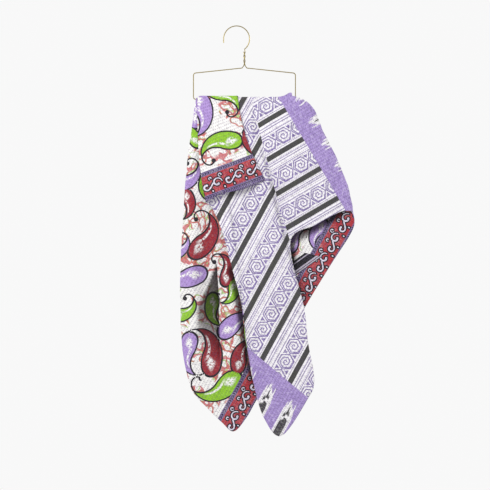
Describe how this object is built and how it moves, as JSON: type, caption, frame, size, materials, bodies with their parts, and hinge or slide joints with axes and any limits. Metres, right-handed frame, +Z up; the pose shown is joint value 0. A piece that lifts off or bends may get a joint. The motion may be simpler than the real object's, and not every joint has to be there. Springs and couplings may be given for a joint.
{
  "type": "kantha quilt on wire hanger",
  "caption": "Folded kantha quilt draped over the bottom bar of a brass-coloured wire hanger, with two long corners in front and a plain back.",
  "frame": {"origin": "seat of the hook, on the underside of the wire at the hook's top, where a peg bears", "axes": "+Z up, -Y towards the viewer in front of the quilt, +X to the viewer's right"},
  "size_m": [0.7076, 0.1375, 1.663],
  "materials": {
    "brass_wire": "satin brass-coloured round wire",
    "quilt_cotton": "layered printed cotton with rows of running stitch"
  },
  "bodies": {
    "root": {"hanger": "brass_wire", "quilt": "quilt_cotton"}
  },
  "joints": []
}
